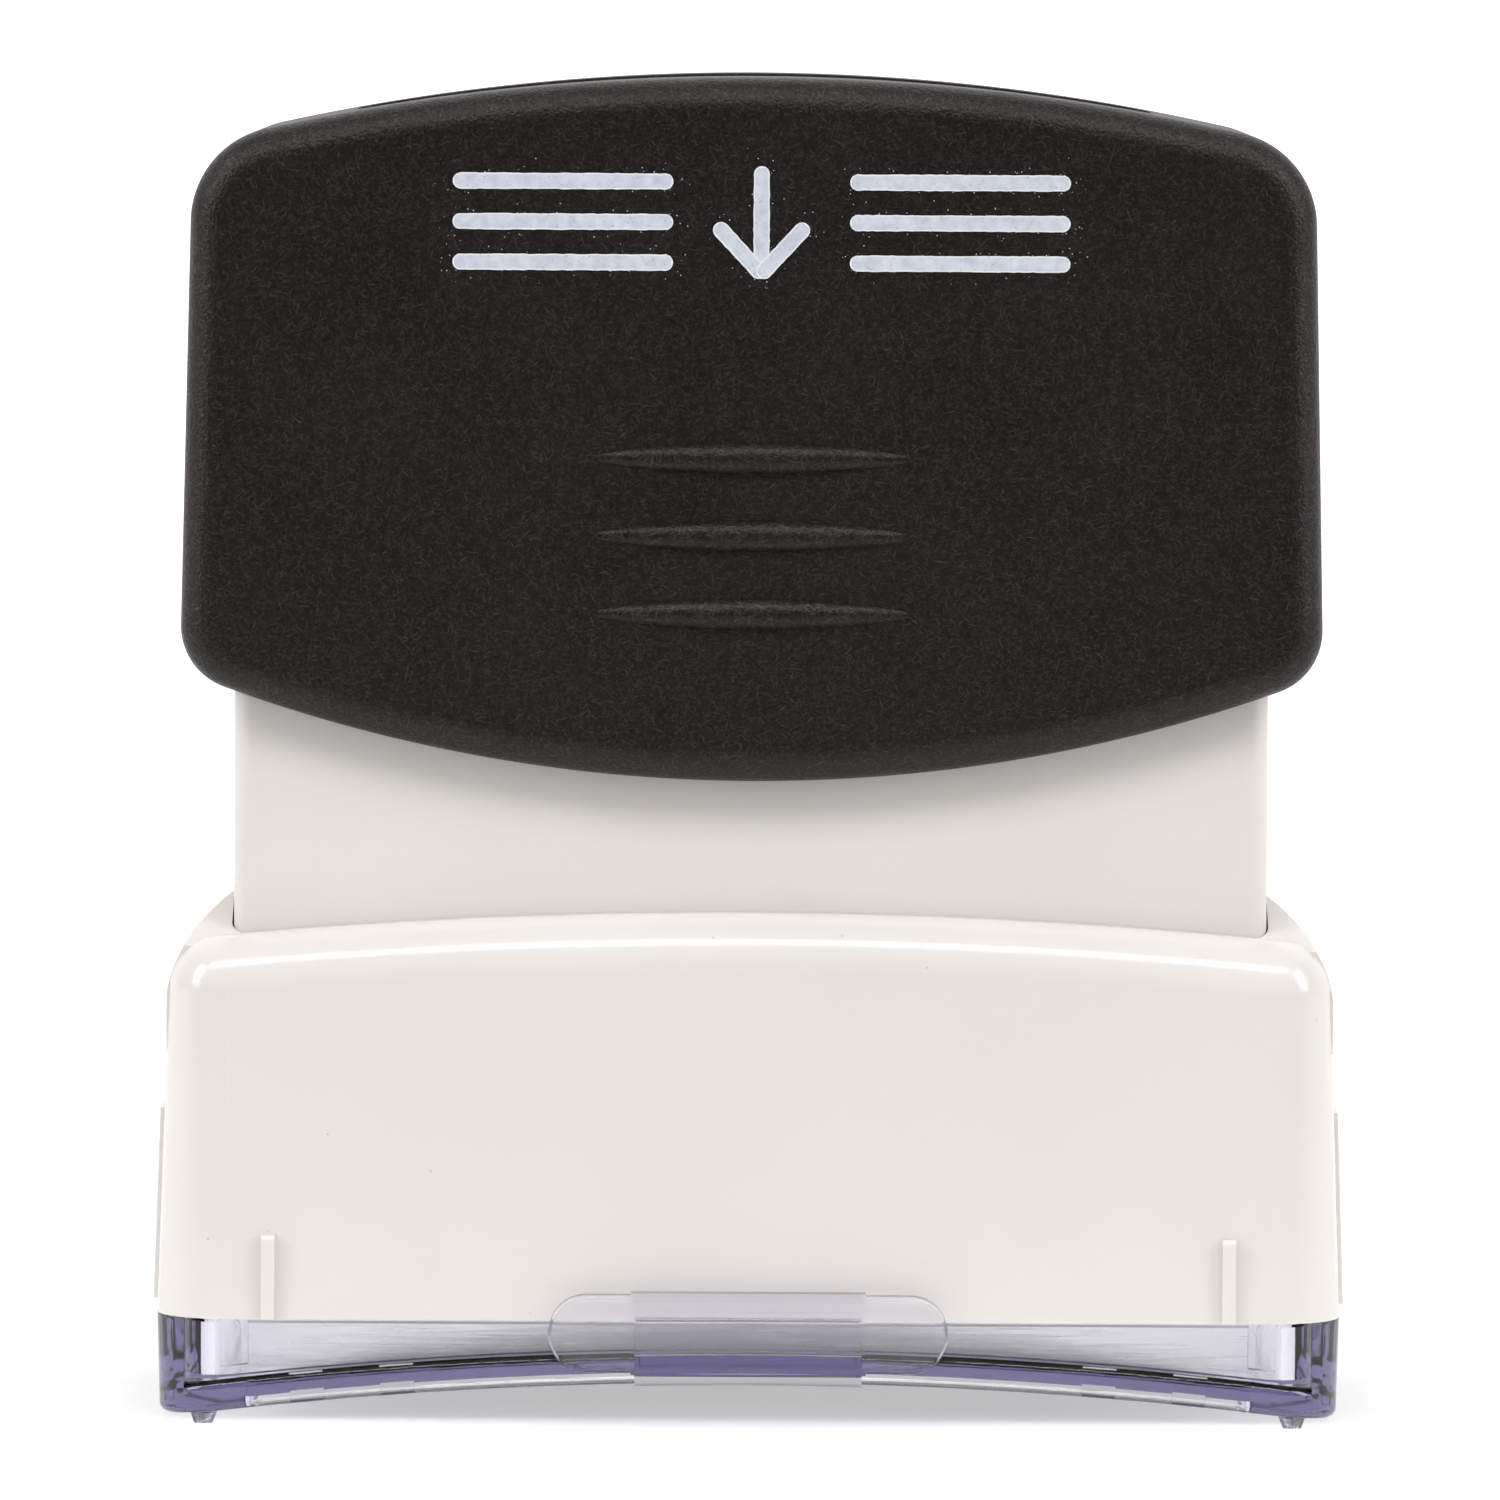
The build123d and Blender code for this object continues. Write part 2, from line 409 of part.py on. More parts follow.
def make_ink_wick():
    return column(WICK_WIDTH, WICK_DEPTH, INNER_CORNER - SNUG_GAP, PAD_TOP_Z + PRESS_GAP, WICK_TOP)


# --- Die cassette -------------------------------------------------------------
SHEET_LOW_Z = DIE_FACE_Z + DIE_RELIEF
PAD_LOW_Z = SHEET_LOW_Z + DIE_SHEET + PRESS_GAP
PAD_TOP_Z = STEM_BOTTOM - HOLDER_ROOF - PRESS_GAP


def make_ink_pad():
    return column(DIE_WIDTH - 2 * GAP, DIE_DEPTH - 2 * GAP, DIE_CORNER, PAD_LOW_Z, PAD_TOP_Z)


def make_stamp_die():
    """The porous rubber sheet. Its raised face is a plain frame round three plain bars."""
    sheet = column(DIE_WIDTH, DIE_DEPTH, DIE_CORNER, SHEET_LOW_Z, SHEET_LOW_Z + DIE_SHEET)
    root_z = SHEET_LOW_Z + ROOT
    frame = column(IMPRESSION_WIDTH, IMPRESSION_DEPTH, 2 * DIE_CORNER, DIE_FACE_Z, root_z)
    line = 2 * IMPRESSION_LINE
    frame = frame - column(IMPRESSION_WIDTH - line, IMPRESSION_DEPTH - line, DIE_CORNER, 0, TALL)
    die = sheet + frame
    for y, width in IMPRESSION_BARS:
        die = die + Pos(0, y, 0) * column(width, IMPRESSION_BAR_HEIGHT, DIE_CORNER, DIE_FACE_Z, root_z)
    return die


def make_die_holder():
    """The inverted tray over the pad, with four snap tongues that reach up inside the stem."""
    outer_width, outer_depth = STEM_WIDTH - 2 * SNUG_GAP, STEM_DEPTH - 2 * SNUG_GAP
    holder = column(outer_width, outer_depth, HOLDER_CORNER, HOLDER_LOW, STEM_BOTTOM - PRESS_GAP)
    pocket_width, pocket_depth = DIE_WIDTH + GAP, DIE_DEPTH + GAP
    holder = holder - column(pocket_width, pocket_depth, DIE_CORNER, 0, STEM_BOTTOM - HOLDER_ROOF)
    holder = holder - wick_passage(TALL)
    tongue_face = STEM_DEPTH / 2 - STEM_WALL - 2 * SNUG_GAP
    tongue = block(
        SNAP_X - SNAP_WIDTH / 2, SNAP_X + SNAP_WIDTH / 2, -tongue_face, -tongue_face + SNAP_THICK,
        STEM_BOTTOM - HOLDER_ROOF / 2, STEM_BOTTOM + SNAP_HEIGHT,
    )
    return holder + both_ends(front_and_back(tongue))


def make_die_bezel():
    """The frame that clips up round the holder and keeps the die in by its edge."""
    bezel = column(BEZEL_WIDTH, BEZEL_DEPTH, BEZEL_CORNER, BEZEL_LOW, BEZEL_HIGH)
    bezel = chamfer(bezel.faces().sort_by(Axis.Z)[0].edges(), BEZEL_EDGE)
    inner_width, inner_depth = STEM_WIDTH + 2 * SNUG_GAP, STEM_DEPTH + 2 * SNUG_GAP
    bezel = bezel - column(inner_width, inner_depth, HOLDER_CORNER, SHEET_LOW_Z - PRESS_GAP, TALL)
    return bezel - column(BEZEL_OPENING_WIDTH, BEZEL_OPENING_DEPTH, DIE_CORNER, 0, TALL)


# --- Handle -------------------------------------------------------------------
def handle_face(inset=0.0):
    """The handle's outline in the XZ plane: an arched top, leaning sides and a rounded belly."""
    top_end = HANDLE_TOP - sag(HANDLE_TOP_RADIUS, HANDLE_TOP_HALF) - inset
    low_end = HANDLE_BOTTOM + sag(HANDLE_BOTTOM_RADIUS, HANDLE_BOTTOM_HALF) + inset
    top_x, low_x = HANDLE_TOP_HALF - inset, HANDLE_BOTTOM_HALF - inset
    outline = [
        ThreePointArc((-top_x, top_end), (0, HANDLE_TOP - inset), (top_x, top_end)),
        Line((top_x, top_end), (low_x, low_end)),
        ThreePointArc((low_x, low_end), (0, HANDLE_BOTTOM + inset), (-low_x, low_end)),
        Line((-low_x, low_end), (-top_x, top_end)),
    ]
    face = make_face(outline)
    face = fillet(face.vertices().sort_by(Axis.Y)[-2:], HANDLE_TOP_CORNER - inset)
    face = fillet(face.vertices().sort_by(Axis.Y)[:2], HANDLE_BOTTOM_CORNER - inset)
    return Plane.XZ * face


def grip_rib(z):
    """One low rib: a slim spindle along X, its axis just behind the handle's front face."""
    lens = [
        ThreePointArc((-RIB_HALF_LENGTH, 0), (0, RIB_RADIUS), (RIB_HALF_LENGTH, 0)),
        Line((RIB_HALF_LENGTH, 0), (-RIB_HALF_LENGTH, 0)),
    ]
    spindle = revolve(make_face(lens), Axis.X, 360)
    return Pos(0, -HANDLE_DEPTH / 2 + RIB_SINK, z) * spindle


def label_space(low, high, width, depth, corner):
    """The room between two surfaces that lie that far below the handle's arched top."""
    upper = under_arch(HANDLE_TOP - high, HANDLE_TOP_RADIUS - high, LABEL_WIDTH, 0, LABEL_DEPTH)
    lower = under_arch(HANDLE_TOP - low, HANDLE_TOP_RADIUS - low, LABEL_WIDTH, 0, LABEL_DEPTH)
    return column(width, depth, corner, HANDLE_BOTTOM, TALL) & (upper - lower)


def make_index_label():
    """The blank card, bent over the arched floor of its recess in the handle's top."""
    width, depth = LABEL_WIDTH - 2 * SNUG_GAP, LABEL_DEPTH - 2 * SNUG_GAP
    return label_space(LABEL_SINK, LABEL_SINK - LABEL_THICK, width, depth, LABEL_CORNER - SNUG_GAP)


def make_handle():
    body = extrude(handle_face(), HANDLE_DEPTH / 2, both=True)
    faces = body.faces().sort_by(Axis.Y)
    body = fillet(faces[0].edges() + faces[-1].edges(), HANDLE_EDGE_FILLET)
    for z in RIB_Z:
        body = body + front_and_back(grip_rib(z))
    body = body - label_space(LABEL_SINK, -LABEL_SINK, LABEL_WIDTH, LABEL_DEPTH, LABEL_CORNER)
    socket = column(
        STEM_WIDTH + 2 * GAP, STEM_DEPTH + 2 * GAP, STEM_CORNER + GAP, 0, STEM_TOP + GAP
    )
    hollow = extrude(handle_face(HANDLE_WALL), HOLLOW_HALF_DEPTH, both=True)
    hollow = hollow & block(-HOLLOW_HALF_WIDTH, HOLLOW_HALF_WIDTH, -TALL, TALL, HOLLOW_LOW, TALL)
    web = block(-WEB_HALF, WEB_HALF, -HOLLOW_HALF_DEPTH, HOLLOW_HALF_DEPTH, WEB_LOW, TALL)
    key_groove = block(
        -STEM_WIDTH / 2 - KEY_PROUD - GAP, STEM_WIDTH / 2 + KEY_PROUD + GAP,
        -KEY_WIDTH / 2 - GAP, KEY_WIDTH / 2 + GAP, 0, STEM_TOP,
    )
    return body - socket - (hollow - web) - key_groove


# --- Write one file per piece ---------------------------------------------------
def build_parts():
    parts = {
        "dust_cover": make_dust_cover(),
        "skirt": make_skirt(),
        "stem": make_stem(),
        "handle": make_handle(),
        "ink_tank": make_ink_tank(),
        "tank_lid": make_tank_lid(),
        "ink_sponge": make_ink_sponge(),
        "tank_seal": make_tank_seal(),
        "ink_wick": make_ink_wick(),
        "index_label": make_index_label(),
        "ink_pad": make_ink_pad(),
        "stamp_die": make_stamp_die(),
        "die_holder": make_die_holder(),
        "die_bezel": make_die_bezel(),
    }
    for name, side in (("left", -1), ("right", 1)):
        parts[f"return_bar_{name}"] = make_return_bar(side)
        parts[f"return_spring_{name}"] = make_return_spring(side)
        parts[f"spring_cup_{name}"] = make_spring_cup(side)
        parts[f"filler_plug_{name}"] = make_filler_plug(side)
    return parts


os.makedirs("parts", exist_ok=True)
for node, shape in build_parts().items():
    export_step(shape, f"parts/{node}.step")
    print(node, round(shape.volume, 1), "mm3")
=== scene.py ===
import json
import math
import random

import bmesh
import bpy
from mathutils import Matrix, Vector


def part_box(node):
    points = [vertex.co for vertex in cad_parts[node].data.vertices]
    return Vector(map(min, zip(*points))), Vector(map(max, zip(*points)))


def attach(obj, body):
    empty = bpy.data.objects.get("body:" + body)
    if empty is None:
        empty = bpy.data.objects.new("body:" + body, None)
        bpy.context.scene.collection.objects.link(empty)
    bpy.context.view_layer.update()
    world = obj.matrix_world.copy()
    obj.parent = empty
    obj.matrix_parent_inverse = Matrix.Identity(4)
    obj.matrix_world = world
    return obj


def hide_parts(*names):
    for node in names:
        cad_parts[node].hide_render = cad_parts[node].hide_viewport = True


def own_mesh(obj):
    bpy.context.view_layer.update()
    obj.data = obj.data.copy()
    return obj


# The looks of a pre-inked hand stamp on its clear dust cover. Everything is in metres, in the
# CAD model's own frame: +Z up, X along the stamp's width, and the front towards -Y.

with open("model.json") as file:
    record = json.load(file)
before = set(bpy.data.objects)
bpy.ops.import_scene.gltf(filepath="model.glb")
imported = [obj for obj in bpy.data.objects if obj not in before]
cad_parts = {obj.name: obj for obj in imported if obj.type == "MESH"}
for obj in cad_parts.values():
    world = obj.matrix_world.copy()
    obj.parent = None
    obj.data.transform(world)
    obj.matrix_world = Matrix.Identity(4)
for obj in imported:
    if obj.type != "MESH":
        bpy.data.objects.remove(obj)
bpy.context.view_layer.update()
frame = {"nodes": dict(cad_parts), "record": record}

MM = 0.001
NODES = frame["nodes"]


# --- Node helpers ---------------------------------------------------------------
class Shader:
    """One material with a Principled shader, and short calls that add texture nodes to it."""

    def __init__(self, name, color=(0.8, 0.8, 0.8), roughness=0.5):
        self.material = bpy.data.materials.new(name)
        self.material.use_nodes = True
        self.tree = self.material.node_tree
        self.principled = self.tree.nodes["Principled BSDF"]
        self.output = self.tree.nodes["Material Output"]
        self.set("Base Color", (*color, 1.0))
        self.set("Roughness", roughness)
        self.coordinates = None

    def set(self, socket, value):
        self.principled.inputs[socket].default_value = value

    def link(self, source, target):
        self.tree.links.new(source, target)

    def node(self, kind, **values):
        made = self.tree.nodes.new(kind)
        for key, value in values.items():
            setattr(made, key, value)
        return made

    def position(self):
        """The point's place in the object's own frame, which is the CAD frame."""
        if self.coordinates is None:
            self.coordinates = self.node("ShaderNodeTexCoord").outputs["Object"]
        return self.coordinates

    def stretched(self, size, turn=(0.0, 0.0, 0.0)):
        """Coordinates turned by those degrees, then divided by a size along each turned axis."""
        mapping = self.node("ShaderNodeMapping", vector_type="TEXTURE")
        mapping.inputs["Scale"].default_value = size
        mapping.inputs["Rotation"].default_value = [math.radians(a) for a in turn]
        self.link(self.position(), mapping.inputs["Vector"])
        return mapping.outputs["Vector"]

    def noise(self, size, detail=2.0, vector=None, distortion=0.0):
        """Noise whose blobs are about size metres across, or one unit where a vector is given."""
        texture = self.node("ShaderNodeTexNoise")
        texture.inputs["Scale"].default_value = 1.0 / size
        texture.inputs["Detail"].default_value = detail
        texture.inputs["Distortion"].default_value = distortion
        self.link(self.position() if vector is None else vector, texture.inputs["Vector"])
        return texture.outputs["Fac"]

    def cells(self, size, vector=None):
        texture = self.node("ShaderNodeTexVoronoi")
        texture.inputs["Scale"].default_value = 1.0 / size
        self.link(self.position() if vector is None else vector, texture.inputs["Vector"])
        return texture.outputs["Distance"]

    def ramp(self, value, low, high, out_low=0.0, out_high=1.0):
        mapped = self.node("ShaderNodeMapRange")
        mapped.inputs["From Min"].default_value = low
        mapped.inputs["From Max"].default_value = high
        mapped.inputs["To Min"].default_value = out_low
        mapped.inputs["To Max"].default_value = out_high
        self.link(value, mapped.inputs["Value"])
        return mapped.outputs["Result"]

    def math(self, operation, first, second):
        made = self.node("ShaderNodeMath", operation=operation)
        for socket, value in zip(made.inputs, (first, second)):
            if isinstance(value, (int, float)):
                socket.default_value = value
            else:
                self.link(value, socket)
        return made.outputs[0]

    def mix(self, factor, first, second):
        """A blend of two colours, each a triple or another node's output."""
        made = self.node("ShaderNodeMix", data_type="RGBA")
        self.link(factor, made.inputs["Factor"])
        for socket, value in ((made.inputs[6], first), (made.inputs[7], second)):
            if isinstance(value, tuple):
                socket.default_value = (*value, 1.0)
            else:
                self.link(value, socket)
        return made.outputs[2]

    def color(self, value):
        self.link(value, self.principled.inputs["Base Color"])

    def roughness(self, value):
        self.link(value, self.principled.inputs["Roughness"])

    def bump(self, height, depth, strength=1.0):
        made = self.node("ShaderNodeBump")
        made.inputs["Distance"].default_value = depth
        made.inputs["Strength"].default_value = strength
        self.link(height, made.inputs["Height"])
        self.link(made.outputs["Normal"], self.principled.inputs["Normal"])


# --- Materials ------------------------------------------------------------------
COVER_ARCH, FLANGE_TOP = 236 * MM, 4.0 * MM


def handle_plastic():
    """Matte black moulding: spark-eroded grain, with faint pale fibres in the surface."""
    s = Shader("handle_black", (0.0075, 0.0062, 0.0052), 0.5)
    s.set("Specular IOR Level", 0.3)
    fibres = None
    for turn in (8, 39, 71, 104, 137, 164):
        strokes = s.noise(1.0, 1.5, s.stretched((0.75 * MM, 0.75 * MM, 0.055 * MM), (0, turn, 0)), 0.35)
        strokes = s.ramp(strokes, 0.64, 0.76)
        fibres = strokes if fibres is None else s.math("MAXIMUM", fibres, strokes)
    grain = s.noise(0.17 * MM, 2.0)
    flecks = s.ramp(s.noise(0.14 * MM, 1.0), 0.54, 0.74)
    patches = s.ramp(s.noise(7 * MM, 3.0), 0.35, 0.7)
    base = s.mix(patches, (0.0032, 0.0016, 0.0010), (0.0058, 0.0038, 0.0028))
    base = s.mix(s.math("MULTIPLY", flecks, 0.5), base, (0.030, 0.026, 0.022))
    s.color(s.mix(s.math("MULTIPLY", fibres, 0.6), base, (0.080, 0.072, 0.062)))
    s.roughness(s.ramp(grain, 0.3, 0.7, 0.34, 0.50))
    s.bump(grain, 0.060 * MM, 1.0)
    return s.material


def printed_ink():
    """Pad-printed white ink: a brighter rim, a thin mottled middle and pinholes."""
    s = Shader("printed_ink", (0.70, 0.72, 0.78), 0.55)
    rim = s.node("ShaderNodeAttribute", attribute_name="rim").outputs["Fac"]
    cloud = s.ramp(s.noise(0.5 * MM, 4.0), 0.3, 0.7)
    middle = s.mix(cloud, (0.50, 0.53, 0.62), (0.66, 0.68, 0.75))
    ink = s.mix(s.ramp(rim, 0.1, 0.9), middle, (0.80, 0.81, 0.85))
    pinholes = s.ramp(s.cells(0.17 * MM), 0.20, 0.12)
    some = s.ramp(s.noise(0.35 * MM, 2.0), 0.48, 0.60)
    holes = s.math("MULTIPLY", pinholes, some)
    s.color(s.mix(s.math("MULTIPLY", holes, 0.8), ink, (0.10, 0.10, 0.12)))
    s.bump(s.noise(0.1 * MM, 2.0), 0.01 * MM, 0.7)
    return s.material


def gloss_white():
    """Glossy off-white moulding with hardly any orange peel and a few dust specks."""
    s = Shader("skirt_white", (0.80, 0.76, 0.715), 0.16)
    s.set("Subsurface Weight", 0.12)
    s.set("Subsurface Radius", (1.0, 0.8, 0.6))
    s.set("Subsurface Scale", 0.6 * MM)
    tone = s.ramp(s.noise(14 * MM, 2.0), 0.3, 0.7)
    base = s.mix(tone, (0.695, 0.660, 0.634), (0.717, 0.684, 0.657))
    specks = s.ramp(s.cells(2.4 * MM), 0.030, 0.014)
    s.color(s.mix(s.math("MULTIPLY", specks, 0.55), base, (0.30, 0.24, 0.18)))
    peel = s.noise(1.6 * MM, 2.0)
    s.roughness(s.ramp(s.noise(3 * MM, 3.0), 0.3, 0.7, 0.13, 0.2))
    s.bump(peel, 0.006 * MM, 0.5)
    return s.material


def satin_white():
    """The stem's off-white: the same plastic with a satin draw-polished face."""
    s = Shader("stem_white", (0.78, 0.74, 0.70), 0.42)
    s.set("Subsurface Weight", 0.12)
    s.set("Subsurface Radius", (1.0, 0.8, 0.6))
    s.set("Subsurface Scale", 0.6 * MM)
    tone = s.ramp(s.noise(11 * MM, 2.0), 0.3, 0.7)
    s.color(s.mix(tone, (0.700, 0.664, 0.640), (0.725, 0.690, 0.666)))
    drawn = s.noise(1.0, 3.0, s.stretched((0.25 * MM, 0.25 * MM, 5 * MM)))
    s.roughness(s.ramp(drawn, 0.3, 0.7, 0.36, 0.5))
    s.bump(drawn, 0.003 * MM, 0.5)
    return s.material


def violet_clear():
    """Clear plastic with a violet tint that deepens with thickness, and a brushed wall over the arch."""
    s = Shader("cover_violet", (1.0, 1.0, 1.0), 0.04)
    s.set("Transmission Weight", 1.0)
    s.set("IOR", 1.49)
    straight = s.node("ShaderNodeBsdfTransparent")
    straight.inputs["Color"].default_value = (0.86, 0.86, 0.90, 1.0)
    lamps_through = s.node("ShaderNodeMixShader")
    s.link(s.node("ShaderNodeLightPath").outputs["Is Shadow Ray"], lamps_through.inputs[0])
    s.link(s.principled.outputs["BSDF"], lamps_through.inputs[1])
    s.link(straight.outputs["BSDF"], lamps_through.inputs[2])
    s.link(lamps_through.outputs["Shader"], s.output.inputs["Surface"])
    tint = s.node("ShaderNodeVolumeAbsorption")
    tint.inputs["Color"].default_value = (0.36, 0.32, 0.56, 1.0)
    tint.inputs["Density"].default_value = 100.0
    s.link(tint.outputs["Volume"], s.output.inputs["Volume"])
    split = s.node("ShaderNodeSeparateXYZ")
    s.link(s.position(), split.inputs["Vector"])
    across, up = split.outputs["X"], split.outputs["Z"]
    sag = s.math("MULTIPLY", s.math("MULTIPLY", across, across), 0.5 / COVER_ARCH)
    over_arch = s.math("ADD", up, sag)
    wall = s.ramp(over_arch, FLANGE_TOP, FLANGE_TOP + 0.3 * MM)
    for reach, socket in ((26.4 * MM, across), (13.9 * MM, split.outputs["Y"])):
        inside = s.math("LESS_THAN", s.math("ABSOLUTE", socket, 0.0), reach)
        wall = s.math("MULTIPLY", wall, inside)
    brushed = s.noise(1.0, 3.0, s.stretched((4 * MM, 4 * MM, 0.16 * MM)))
    flow = s.noise(1.0, 2.0, s.stretched((6 * MM, 6 * MM, 0.5 * MM)))
    polished = s.ramp(flow, 0.3, 0.7, 0.02, 0.06)
    satin = s.ramp(brushed, 0.3, 0.7, 0.06, 0.26)
    s.roughness(s.math("ADD", polished, s.math("MULTIPLY", satin, wall)))
    s.bump(s.math("MULTIPLY", brushed, wall), 0.008 * MM, 0.5)
    return s.material


def plain_moulding(name, dark, light, roughness):
    """A small inner moulding: a slight tone variation and a fine tool grain."""
    s = Shader(name, light, roughness)
    s.color(s.mix(s.ramp(s.noise(4 * MM, 3.0), 0.3, 0.7), dark, light))
    grain_size, grain_depth = 0.2 * MM, 0.01 * MM
    grain = s.noise(grain_size, 2.0)
    s.roughness(s.ramp(grain, 0.3, 0.7, roughness - 0.06, roughness + 0.06))
    s.bump(grain, grain_depth, 0.6)
    return s.material


def natural_plastic():
    """Milky, slightly see-through moulding, as ink tanks are."""
    s = Shader("tank_natural", (0.80, 0.80, 0.76), 0.38)
    s.set("Subsurface Weight", 0.35)
    s.set("Subsurface Radius", (1.0, 1.0, 0.9))
    s.set("Subsurface Scale", 1.5 * MM)
    s.color(s.mix(s.ramp(s.noise(6 * MM, 2.0), 0.3, 0.7), (0.72, 0.73, 0.70), (0.82, 0.82, 0.78)))
    s.bump(s.noise(0.5 * MM, 2.0), 0.01 * MM, 0.4)
    return s.material


def inked_felt():
    """Felt and foam soaked in ink: open pores and a damp sheen."""
    s = Shader("ink_felt", (0.012, 0.012, 0.020), 0.7)
    pores = s.cells(0.28 * MM)
    s.color(s.mix(s.ramp(pores, 0.1, 0.6), (0.006, 0.006, 0.012), (0.030, 0.030, 0.045)))
    s.roughness(s.ramp(s.noise(1.5 * MM, 3.0), 0.35, 0.65, 0.35, 0.8))
    s.bump(pores, 0.08 * MM, 0.8)
    return s.material


def porous_rubber():
    """The die: inked micro-porous rubber, nearly smooth, with a wet film in places."""
    s = Shader("die_rubber", (0.02, 0.02, 0.03), 0.45)
    pores = s.noise(0.09 * MM, 3.0)
    film = s.ramp(s.noise(3 * MM, 3.0), 0.4, 0.62)
    s.color(s.mix(film, (0.030, 0.030, 0.040), (0.010, 0.010, 0.018)))
    s.roughness(s.ramp(film, 0.0, 1.0, 0.62, 0.24))
    s.bump(pores, 0.02 * MM, 0.7)
    return s.material


def soft_rubber():
    s = Shader("seal_rubber", (0.02, 0.02, 0.02), 0.75)
    s.color(s.mix(s.ramp(s.noise(2 * MM, 3.0), 0.3, 0.7), (0.014, 0.014, 0.015), (0.035, 0.034, 0.033)))
    s.bump(s.noise(0.12 * MM, 2.0), 0.01 * MM, 0.7)
    return s.material


def drawn_wire():
    """Bright spring wire, with fine lines from the drawing die."""
    s = Shader("spring_steel", (0.60, 0.60, 0.61), 0.28)
    s.set("Metallic", 1.0)
    lines = s.noise(0.05 * MM, 2.0)
    s.color(s.mix(s.ramp(s.noise(1.2 * MM, 2.0), 0.3, 0.7), (0.48, 0.47, 0.46), (0.66, 0.66, 0.67)))
    s.roughness(s.ramp(lines, 0.3, 0.7, 0.2, 0.36))
    s.bump(lines, 0.002 * MM, 0.5)
    return s.material


def blank_card():
    """White index card: paper fibres and a slightly soft face."""
    s = Shader("label_card", (0.84, 0.83, 0.80), 0.85)
    fibre = s.noise(1.0, 3.0, s.stretched((0.8 * MM, 0.15 * MM, 0.3 * MM)))
    s.color(s.mix(s.ramp(fibre, 0.3, 0.7), (0.79, 0.78, 0.745), (0.86, 0.855, 0.83)))
    s.bump(fibre, 0.01 * MM, 0.6)
    return s.material


def dress_cad_nodes():
    """Gives every CAD node its own procedural material."""
    materials = {
        "skirt_white": gloss_white(),
        "stem_white": satin_white(),
        "handle_black": handle_plastic(),
        "cover_violet": violet_clear(),
        "tank_natural": natural_plastic(),
        "ink_felt": inked_felt(),
        "die_rubber": porous_rubber(),
        "seal_rubber": soft_rubber(),
        "spring_steel": drawn_wire(),
        "label_card": blank_card(),
        "holder_black": plain_moulding("holder_black", (0.012, 0.012, 0.013), (0.022, 0.022, 0.023), 0.5),
        "bar_acetal": plain_moulding("bar_acetal", (0.68, 0.67, 0.63), (0.76, 0.75, 0.71), 0.4),
        "plug_grey": plain_moulding("plug_grey", (0.17, 0.18, 0.20), (0.23, 0.24, 0.26), 0.5),
        "printed_ink": printed_ink(),
    }
    for part in frame["record"]["subparts"]:
        node = NODES[part["node"]]
        node.data.materials.clear()
        node.data.materials.append(materials[part["material_slot"]])
    return materials


# --- Mesh helpers ---------------------------------------------------------------
def add_object(name, data):
    made = bpy.data.objects.new(name, data)
    bpy.context.scene.collection.objects.link(made)
    return made


def loft(name, rings):
    """A mesh through rings of points, each with the same number, capped at both ends."""
    count = len(rings[0])
    points = [point for ring in rings for point in ring]
    faces = []
    for r in range(len(rings) - 1):
        for i in range(count):
            j = (i + 1) % count
            faces.append((r * count + i, r * count + j, (r + 1) * count + j, (r + 1) * count + i))
    faces.append(tuple(reversed(range(count))))
    faces.append(tuple(range((len(rings) - 1) * count, len(rings) * count)))
    mesh = bpy.data.meshes.new(name)
    mesh.from_pydata(points, [], faces)
    edit = bmesh.new()
    edit.from_mesh(mesh)
    bmesh.ops.recalc_face_normals(edit, faces=edit.faces)
    edit.to_mesh(mesh)
    edit.free()
    return add_object(name, mesh)


def extruded(name, outline, y_low, y_high):
    """A prism along Y from an outline of (x, z) points."""
    return loft(name, [[(x, y, z) for x, z in outline] for y in (y_low, y_high)])


def upright(name, width, depth, corner, z_low, z_high, steps=8):
    """A prism along Z with rounded corners, centred on the Z axis."""
    outline = []
    for side_x, side_y, start in ((1, 1, 0), (-1, 1, 90), (-1, -1, 180), (1, -1, 270)):
        for step in range(steps + 1):
            angle = math.radians(start + 90 * step / steps)
            x = side_x * (width / 2 - corner) + corner * math.cos(angle)
            y = side_y * (depth / 2 - corner) + corner * math.sin(angle)
            outline.append((x, y))
    return loft(name, [[(x, y, z) for x, y in outline] for z in (z_low, z_high)])


def arc(center, radius, start, end, steps):
    """Points along an arc, its angles in radians, both ends included."""
    points = []
    for step in range(steps + 1):
        angle = start + (end - start) * step / steps
        points.append((center[0] + radius * math.cos(angle), center[1] + radius * math.sin(angle)))
    return points


def combine(base, tools, operation):
    """Joins or cuts the base with each tool, and removes the tools."""
    for tool in tools:
        step = base.modifiers.new(operation, "BOOLEAN")
        step.operation = operation
        step.solver = "EXACT"
        step.object = tool
    bpy.context.view_layer.update()
    finished = bpy.data.meshes.new_from_object(base.evaluated_get(bpy.context.evaluated_depsgraph_get()))
    base.modifiers.clear()
    base.data = finished
    for tool in tools:
        bpy.data.objects.remove(tool)
    return base


def shade(piece, crease=32):
    """Smooth shading with sharp edges past a crease angle, and flat faces kept flat."""
    for polygon in piece.data.polygons:
        polygon.use_smooth = True
    piece.data.set_sharp_from_angle(angle=math.radians(crease))
    weighted = piece.modifiers.new("weighted", "WEIGHTED_NORMAL")
    weighted.keep_sharp = True
    weighted.weight = 100


def finish_piece(piece, material, body, replaced=None):
    piece.data.materials.clear()
    piece.data.materials.append(material)
    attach(piece, body)
    if replaced:
        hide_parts(replaced)


